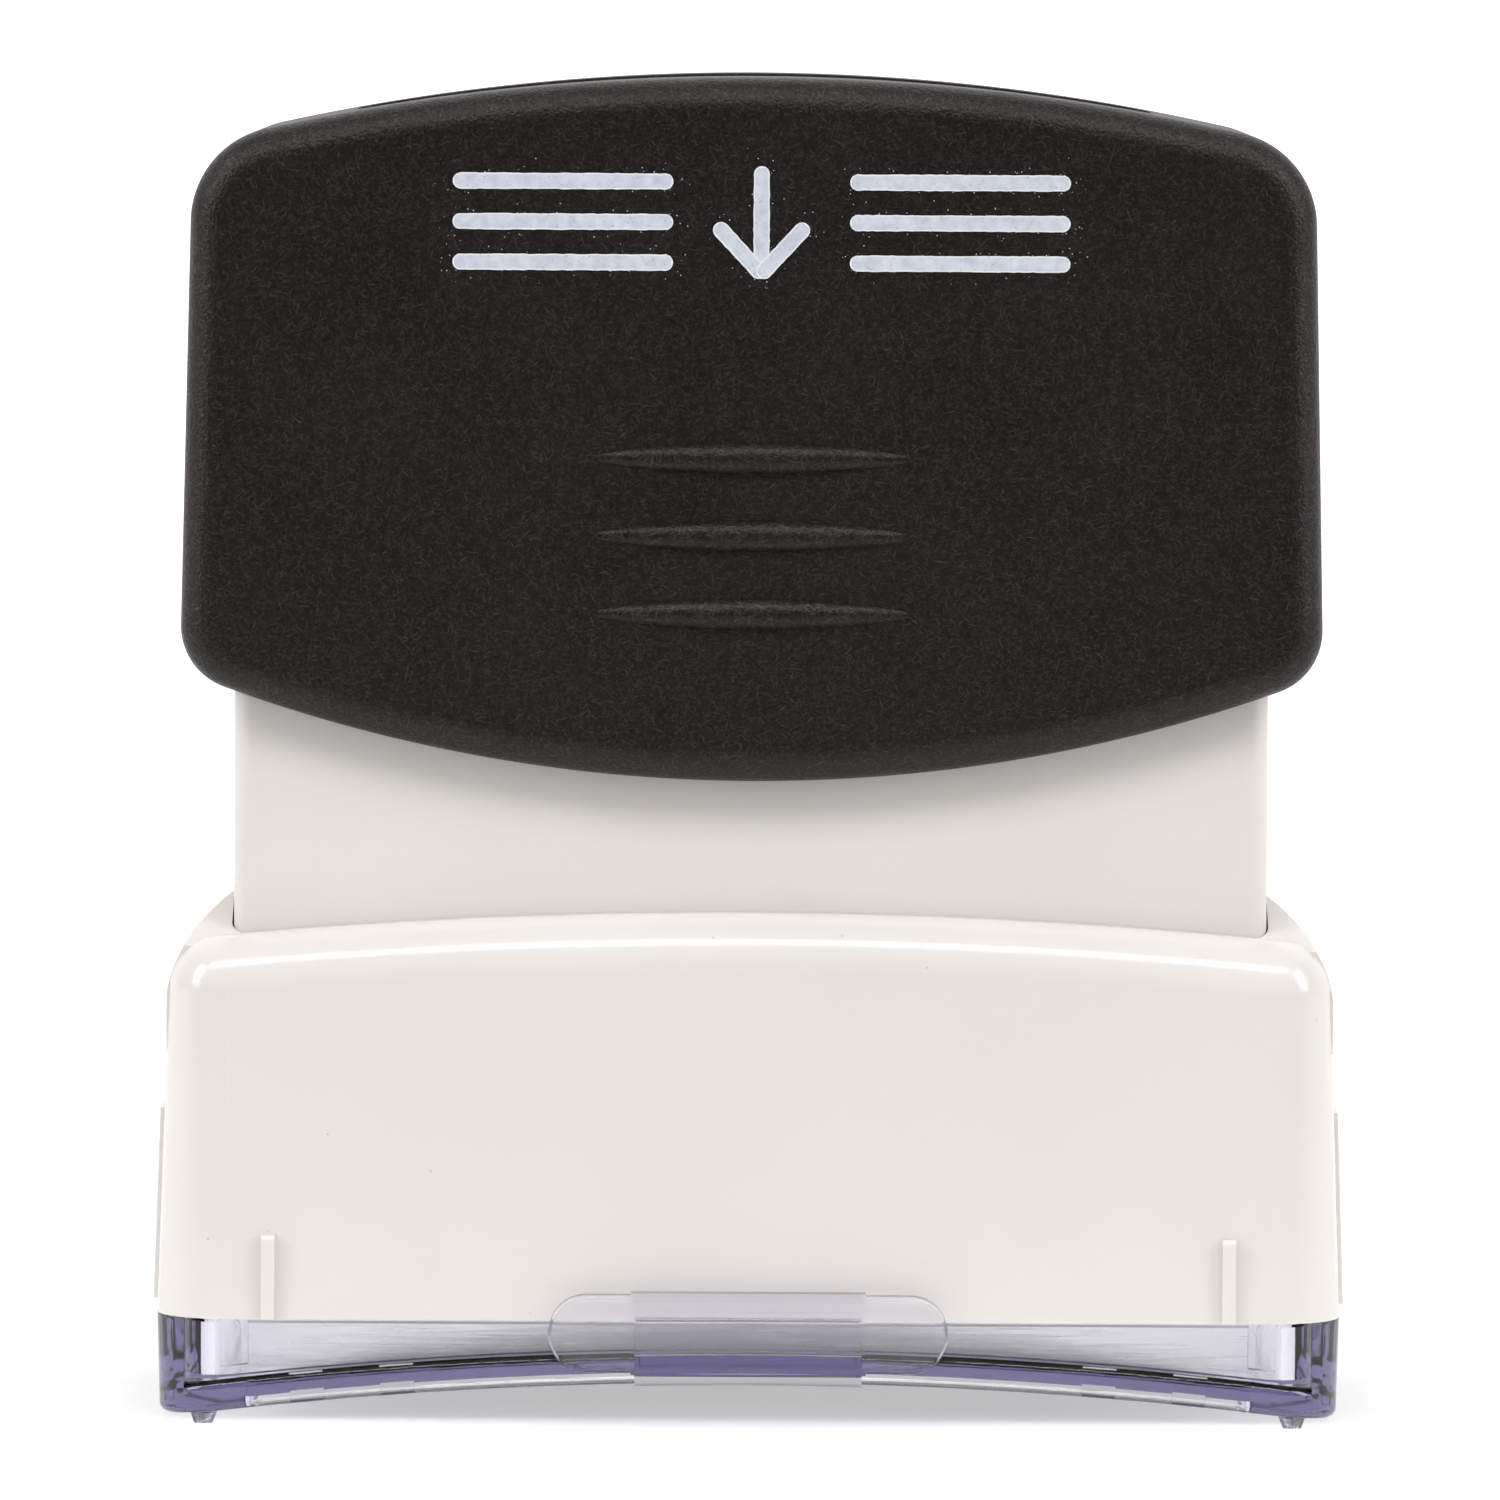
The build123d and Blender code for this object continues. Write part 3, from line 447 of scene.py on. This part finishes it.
# --- Handle ---------------------------------------------------------------------
HANDLE_LOW, HANDLE_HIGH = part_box("handle")
HANDLE_HALF_DEPTH = 12.8 * MM
HANDLE_FILLET = 1.8 * MM
TOP_RADIUS, TOP_HALF, TOP_CORNER = 117.0 * MM, 29.2 * MM, 5.0 * MM
BELLY_RADIUS, BELLY_HALF, BELLY_CORNER = 81.4 * MM, 29.8 * MM, 3.4 * MM
RIB_HEIGHTS = (50.45 * MM, 46.4 * MM, 42.35 * MM)
RIB_HALF, RIB_RADIUS, RIB_SINK = 10.3 * MM, 0.85 * MM, 0.3 * MM
HANDLE_WALL, SOCKET_GAP = 2.4 * MM, 0.2 * MM
LABEL_GAP, LABEL_CORNER, LABEL_SINK = 0.05 * MM, 1.5 * MM, 0.6 * MM


def corner_center(line_start, line_end, corner, arc_center, arc_radius, upper):
    """Where a fillet's centre lies between a straight side and a long arc."""
    along = (line_end - line_start).normalized()
    inward = Vector((-along.y, along.x))
    if inward.x > 0:
        inward = -inward
    start = line_start + inward * corner - arc_center
    half_b = start.dot(along)
    root = math.sqrt(half_b**2 - start.length_squared + (arc_radius - corner) ** 2)
    reaches = [arc_center + start + along * (-half_b + sign * root) for sign in (1, -1)]
    return max(reaches, key=lambda p: p.y) if upper else min(reaches, key=lambda p: p.y)


def handle_outline():
    """The arcs round the handle's face, each as its centre, radius, angles and steps."""
    top_center = Vector((0, HANDLE_HIGH.z - TOP_RADIUS))
    belly_center = Vector((0, HANDLE_LOW.z + BELLY_RADIUS))
    top_end = Vector((TOP_HALF, top_center.y + math.sqrt(TOP_RADIUS**2 - TOP_HALF**2)))
    belly_end = Vector((BELLY_HALF, belly_center.y - math.sqrt(BELLY_RADIUS**2 - BELLY_HALF**2)))
    high = corner_center(belly_end, top_end, TOP_CORNER, top_center, TOP_RADIUS, True)
    low = corner_center(belly_end, top_end, BELLY_CORNER, belly_center, BELLY_RADIUS, False)
    side = top_end - belly_end
    side_angle = math.atan2(-side.x, side.y)
    top_angle = math.atan2(high.y - top_center.y, high.x)
    belly_angle = math.atan2(low.y - belly_center.y, low.x)
    half_turn = math.pi
    return [
        (low, BELLY_CORNER, belly_angle, side_angle, 28),
        (high, TOP_CORNER, side_angle, top_angle, 32),
        (top_center, TOP_RADIUS, top_angle, half_turn - top_angle, 150),
        (Vector((-high.x, high.y)), TOP_CORNER, half_turn - top_angle, half_turn - side_angle, 32),
        (Vector((-low.x, low.y)), BELLY_CORNER, half_turn - side_angle, half_turn - belly_angle, 28),
        (belly_center, BELLY_RADIUS, half_turn - belly_angle, 2 * half_turn + belly_angle, 130),
    ]


def handle_ring(arcs, inset, y):
    """The handle's outline moved inward, as points at one depth."""
    points = []
    for center, radius, start, end, steps in arcs:
        piece = arc(center, radius - inset, start, end, steps)
        points += piece if radius <= TOP_CORNER else piece[1:-1]
    return [(x, y, z) for x, z in points]


def rib_spindle(name, height, side):
    """A slim spindle along X whose axis lies just behind the handle's face."""
    bow = (RIB_HALF**2 + RIB_RADIUS**2) / (2 * RIB_RADIUS)
    rings = []
    stations = 72
    for station in range(1, stations):
        x = -RIB_HALF + 2 * RIB_HALF * station / stations
        reach = math.sqrt(bow**2 - x**2) - (bow - RIB_RADIUS)
        y_axis = side * (HANDLE_HALF_DEPTH - RIB_SINK)
        ring = arc((y_axis, height), reach, 0, 2 * math.pi, 40)[:-1]
        rings.append([(x, y, z) for y, z in ring])
    return loft(name, rings)


def label_recess():
    """The cutter for the index label's recess: its floor follows the handle's top arc."""
    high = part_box("index_label")[1]
    half_width, half_depth, corner = high.x + LABEL_GAP, high.y + LABEL_GAP, LABEL_CORNER
    floor_radius = TOP_RADIUS - LABEL_SINK
    center_z = HANDLE_HIGH.z - TOP_RADIUS
    stations = [half_width - corner + corner * math.sin(math.radians(a)) for a in range(0, 86, 12)]
    inner = [(half_width - corner) * (2 * i / 40 - 1) for i in range(41)]
    xs = [-x for x in reversed(stations[1:])] + inner + stations[1:]
    rings = []
    for x in xs:
        over = max(abs(x) - (half_width - corner), 0.0)
        reach = half_depth - corner + math.sqrt(corner**2 - over**2)
        floor = center_z + math.sqrt(floor_radius**2 - x**2)
        ceiling = HANDLE_HIGH.z + 5 * MM
        rings.append([(x, -reach, floor), (x, reach, floor), (x, reach, ceiling), (x, -reach, ceiling)])
    return loft("label_recess", rings)


def handle_cutters():
    """The stem's socket, the key grooves, the hollow over the stem and the label's recess."""
    stem_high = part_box("stem")[1]
    gap, wall = SOCKET_GAP, HANDLE_WALL
    stem_half_width, key_half = 27.0 * MM, 0.8 * MM
    socket_top = stem_high.z - 0.6 * MM + gap
    socket = upright(
        "socket", 2 * (stem_half_width + gap), 2 * (stem_high.y + gap), 1.1 * MM, 0.0, socket_top
    )
    reach = stem_high.x + gap
    grooves = upright("grooves", 2 * reach, 2 * (key_half + gap), 0.1 * MM, 0.0, socket_top - gap)
    hollow_half, web_half = 25.5 * MM, 0.7 * MM
    ceiling_radius = TOP_RADIUS - wall
    center_z = HANDLE_HIGH.z - TOP_RADIUS
    side_angle = math.asin(hollow_half / ceiling_radius)
    web_angle = math.asin(web_half / ceiling_radius)
    quarter = math.pi / 2
    web_low, hollow_low = socket_top + 3.3 * MM, socket_top - 1.2 * MM
    outline = [(-hollow_half, hollow_low), (hollow_half, hollow_low)]
    outline += arc((0, center_z), ceiling_radius, quarter - side_angle, quarter - web_angle, 40)
    outline += [(web_half, web_low), (-web_half, web_low)]
    outline += arc((0, center_z), ceiling_radius, quarter + web_angle, quarter + side_angle, 40)
    hollow = extruded("hollow", outline, -9.8 * MM, 9.8 * MM)
    return [socket, grooves, hollow, label_recess()]


def make_handle(materials):
    """The black shell: an arched block with rolled edges, three ribs on each face and its hollows."""
    arcs = handle_outline()
    fillet_steps = 14
    rings = []
    for step in range(fillet_steps + 1):
        lean = math.radians(90 * step / fillet_steps)
        inset = HANDLE_FILLET * (1 - math.sin(lean))
        depth = HANDLE_HALF_DEPTH - HANDLE_FILLET * (1 - math.cos(lean))
        rings.append((inset, depth))
    front = [handle_ring(arcs, inset, -depth) for inset, depth in rings]
    back = [handle_ring(arcs, inset, depth) for inset, depth in reversed(rings)]
    shell = loft("handle_shell", front + back)
    ribs = []
    for side in (-1, 1):
        for height in RIB_HEIGHTS:
            ribs.append(rib_spindle("rib", height, side))
    combine(shell, ribs, "UNION")
    combine(shell, handle_cutters(), "DIFFERENCE")
    shade(shell)
    finish_piece(shell, materials["handle_black"], "handle_body", "handle")
    return shell


# --- Printed mark on the handle's front ------------------------------------------
MARK_STROKE, MARK_RIM, MARK_PROUD = 0.42 * MM, 0.13 * MM, 0.012 * MM
MARK_X, MARK_Z = 0.4 * MM, 62.7 * MM
OVERSPRAY_DOTS = 420


def stroke(points, halves, rng):
    """One printed line: a strip of quads along points, with its rim marked for the ink's edge."""
    count = len(points)
    vertices, rim, faces = [], [], []
    for i, (x, z) in enumerate(points):
        before, after = points[max(i - 1, 0)], points[min(i + 1, count - 1)]
        along = Vector((after[0] - before[0], after[1] - before[1])).normalized()
        half = halves[i] * rng.uniform(0.955, 1.04)
        inner = max(half - MARK_RIM, half * 0.25)
        for offset, edge in ((-half, 1.0), (-inner, 0.0), (inner, 0.0), (half, 1.0)):
            vertices.append((x - along.y * offset, z + along.x * offset))
            tip = 1.0 if half < 2 * MARK_RIM else edge
            rim.append(tip)
    for i in range(count - 1):
        j = i + 1
        for k in range(3):
            faces.append((4 * i + k, 4 * i + k + 1, 4 * j + k + 1, 4 * j + k))
    return vertices, rim, faces


def bar(x_start, x_end, z, z_end=None):
    """A straight line with round ends, as its points and its half widths."""
    start = Vector((x_start, z))
    end = Vector((x_end, z if z_end is None else z_end))
    along = (end - start).normalized()
    points, halves = [], []
    ends = [math.radians(a) for a in range(8, 91, 9)]
    for angle in ends:
        points.append(start - along * MARK_STROKE * math.cos(angle))
        halves.append(MARK_STROKE * math.sin(angle))
    pieces = max(2, int((end - start).length / (0.25 * MM)))
    for i in range(1, pieces):
        points.append(start.lerp(end, i / pieces))
        halves.append(MARK_STROKE)
    for angle in reversed(ends):
        points.append(end + along * MARK_STROKE * math.cos(angle))
        halves.append(MARK_STROKE * math.sin(angle))
    return [tuple(p) for p in points], halves


def mark_lines():
    """A plain press-here sign: an arrow that points down, with three equal bars at both sides."""
    tip, wing = -2.5 * MM, 2.1 * MM
    lines = [bar(0.0, 0.0, -tip, tip)]
    bar_inner, bar_outer = 5.0 * MM, 15.6 * MM
    for side in (-1, 1):
        lines.append(bar(side * wing, side * 0.15 * MM, tip + wing, tip))
        for level in (2.1 * MM, 0.0, -2.1 * MM):
            lines.append(bar(side * bar_inner, side * bar_outer, level))
    return lines


def make_mark(materials):
    """The printed sign, with the fine dots that the ink leaves round it."""
    rng = random.Random(7)
    face_y = -HANDLE_HALF_DEPTH - MARK_PROUD
    vertices, rim, faces = [], [], []
    centers = []
    for layer, (points, halves) in enumerate(mark_lines()):
        flat, edges, quads = stroke(points, halves, rng)
        base = len(vertices)
        y = face_y - layer * 0.0004 * MM
        vertices += [(MARK_X + x, y, MARK_Z + z) for x, z in flat]
        rim += edges
        faces += [tuple(base + i for i in quad) for quad in quads]
        centers += points
    for _ in range(OVERSPRAY_DOTS):
        x, z = rng.choice(centers)
        angle, reach = rng.uniform(0, 2 * math.pi), MARK_STROKE + abs(rng.gauss(0.0, 0.33)) * MM
        dot = rng.uniform(0.012, 0.034) * MM
        center = (MARK_X + x + reach * math.cos(angle), MARK_Z + z + reach * math.sin(angle))
        base = len(vertices)
        vertices += [(px, face_y, pz) for px, pz in arc(center, dot, 0, 2 * math.pi, 6)[:-1]]
        rim += [0.5] * 6
        faces.append(tuple(range(base, base + 6)))
    mesh = bpy.data.meshes.new("printed_mark")
    mesh.from_pydata(vertices, [], faces)
    attribute = mesh.attributes.new("rim", "FLOAT", "POINT")
    attribute.data.foreach_set("value", rim)
    mark = add_object("printed_mark", mesh)
    film = mark.modifiers.new("film", "SOLIDIFY")
    film.thickness = 2 * MARK_PROUD
    film.offset = -1.0
    finish_piece(mark, materials["printed_ink"], "handle_body")
    return mark


# --- Return springs ---------------------------------------------------------------
PRESS_TRAVEL, WIRE_RADIUS = 5.5 * MM, 0.35 * MM
CLOSED_TURNS, ACTIVE_TURNS, TURN_STEPS, WIRE_SIDES = 1.0, 6.0, 28, 12


def make_spring(side, materials):
    """A compression spring with closed ends, wound round the peg of its cross bar."""
    node = f"return_spring_{side}"
    low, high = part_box(node)
    middle = (low + high) / 2
    wire = WIRE_RADIUS
    radius = (high.x - low.x) / 2 - wire
    bottom, top = low.z + wire, high.z - wire
    turns = ACTIVE_TURNS + 2 * CLOSED_TURNS
    close_rise = 2.1 * wire
    rings = []
    for i in range(int(turns * TURN_STEPS) + 1):
        turn = i / TURN_STEPS
        if turn < CLOSED_TURNS:
            height = bottom + close_rise * turn / CLOSED_TURNS * 0.5
        elif turn > turns - CLOSED_TURNS:
            height = top - close_rise * (turns - turn) / CLOSED_TURNS * 0.5
        else:
            share = (turn - CLOSED_TURNS) / ACTIVE_TURNS
            height = bottom + 0.5 * close_rise + (top - bottom - close_rise) * share
        angle = 2 * math.pi * turn
        out = Vector((math.cos(angle), math.sin(angle), 0.0))
        center = Vector((middle.x, middle.y, height)) + out * radius
        ring = []
        for k in range(WIRE_SIDES):
            around = 2 * math.pi * k / WIRE_SIDES
            lift = Vector((0, 0, wire * math.sin(around)))
            ring.append(tuple(center + out * wire * math.cos(around) + lift))
        rings.append(ring)
    spring = loft(node + "_coil", rings)
    for polygon in spring.data.polygons:
        polygon.use_smooth = True
    finish_piece(spring, materials["spring_steel"], "skirt_body", node)
    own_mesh(spring)
    return spring


# --- Stage, light and camera ------------------------------------------------------
FLOOR_REACH, LAMP_DISTANCE = 40.0, 0.9
STAMP_MIDDLE = Vector((0, 0, 35 * MM))
SKY_LOW, SKY_HIGH, BACKDROP = 0.07, 0.38, 1.0


def make_floor():
    """A plain pale table, darker in front of the view so that the stamp's front stays dark, and glowing
    near the stamp and far behind it: painted light that lightens the shadow under the stamp and whitens
    the far floor.
    """
    mesh = bpy.data.meshes.new("floor")
    reach = FLOOR_REACH
    corners = [(-reach, -reach, 0), (reach, -reach, 0), (reach, reach, 0), (-reach, reach, 0)]
    mesh.from_pydata(corners, [], [(0, 1, 2, 3)])
    floor = add_object("floor", mesh)
    s = Shader("floor_white", (0.85, 0.85, 0.85), 0.9)
    s.set("Specular IOR Level", 0.1)
    s.set("Emission Color", (1.0, 1.0, 1.0, 1.0))
    split = s.node("ShaderNodeSeparateXYZ")
    s.link(s.position(), split.inputs["Vector"])
    backward = s.ramp(split.outputs["Y"], -0.15, -0.09)
    s.color(s.mix(backward, (0.10, 0.10, 0.10), (0.58, 0.58, 0.58)))
    # Painted light: the floor glows near the stamp, which lightens the shadow under it, and glows more
    # towards the back, which whitens the far floor.
    near_glow = s.ramp(split.outputs["Y"], -0.14, -0.08, 0.0, 0.44)
    far_glow = s.ramp(split.outputs["Y"], 0.05, 1.20, 0.0, 0.65)
    s.link(s.math("ADD", near_glow, far_glow), s.principled.inputs["Emission Strength"])
    mesh.materials.append(s.material)


def aim(thing, target):
    direction = Vector(target) - thing.location
    thing.rotation_euler = direction.to_track_quat("-Z", "Y").to_euler()


def softbox(name, azimuth, elevation, size, power):
    """A rectangular light that faces the stamp. Azimuth 0 is straight in front."""
    light = bpy.data.lights.new(name, "AREA")
    light.shape = "RECTANGLE"
    light.size, light.size_y = size
    light.energy = power
    lamp = add_object(name, light)
    turn, tilt = math.radians(azimuth), math.radians(elevation)
    away = Vector((math.sin(turn) * math.cos(tilt), -math.cos(turn) * math.cos(tilt), math.sin(tilt)))
    lamp.location = STAMP_MIDDLE + away * LAMP_DISTANCE
    aim(lamp, STAMP_MIDDLE)


def make_lights():
    """A dark room in front, a white backdrop behind, one long light overhead and one on each side."""
    world = bpy.data.worlds.new("studio")
    world.use_nodes = True
    tree = world.node_tree
    direction = tree.nodes.new("ShaderNodeTexCoord").outputs["Generated"]
    split = tree.nodes.new("ShaderNodeSeparateXYZ")
    height = tree.nodes.new("ShaderNodeMapRange")
    height.inputs["From Min"].default_value = 0.05
    height.inputs["From Max"].default_value = 0.85
    height.inputs["To Min"].default_value = SKY_LOW
    height.inputs["To Max"].default_value = SKY_HIGH
    tree.links.new(direction, split.inputs["Vector"])
    tree.links.new(split.outputs["Z"], height.inputs["Value"])
    backdrop = tree.nodes.new("ShaderNodeMapRange")
    backdrop.inputs["From Min"].default_value = 0.15
    backdrop.inputs["From Max"].default_value = 0.60
    backdrop.inputs["To Max"].default_value = BACKDROP
    total = tree.nodes.new("ShaderNodeMath")
    tree.links.new(split.outputs["Y"], backdrop.inputs["Value"])
    tree.links.new(height.outputs["Result"], total.inputs[0])
    tree.links.new(backdrop.outputs["Result"], total.inputs[1])
    tree.links.new(total.outputs[0], tree.nodes["Background"].inputs["Strength"])
    tree.nodes["Background"].inputs["Color"].default_value = (1, 1, 1, 1)
    bpy.context.scene.world = world
    softbox("key", 0, 57, (1.2, 0.22), 5.2)
    softbox("left", -66, 25, (0.28, 0.6), 3.8)
    softbox("right", 66, 25, (0.28, 0.6), 3.8)


def make_camera():
    """A long lens at the height of the handle's top, tipped slightly."""
    elevation, roll = math.radians(4.0), math.radians(0.3)
    distance, view_width = 0.62, 78.22 * MM
    nearest = 11 * MM
    camera = bpy.data.cameras.new("camera")
    camera.sensor_width = 36.0
    camera.lens = camera.sensor_width * (distance - nearest) / view_width
    camera.clip_start = 0.01
    eye = add_object("camera", camera)
    target = Vector((-0.06 * MM, 0.0, 34.4 * MM))
    eye.location = target + Vector((0, -math.cos(elevation), math.sin(elevation))) * distance
    aim(eye, target)
    eye.rotation_euler.rotate_axis("Z", roll)
    bpy.context.scene.camera = eye


bpy.context.scene.view_settings.view_transform = "Standard"
materials = dress_cad_nodes()
make_handle(materials)
make_mark(materials)
for side in ("left", "right"):
    make_spring(side, materials)
make_floor()
make_lights()
make_camera()
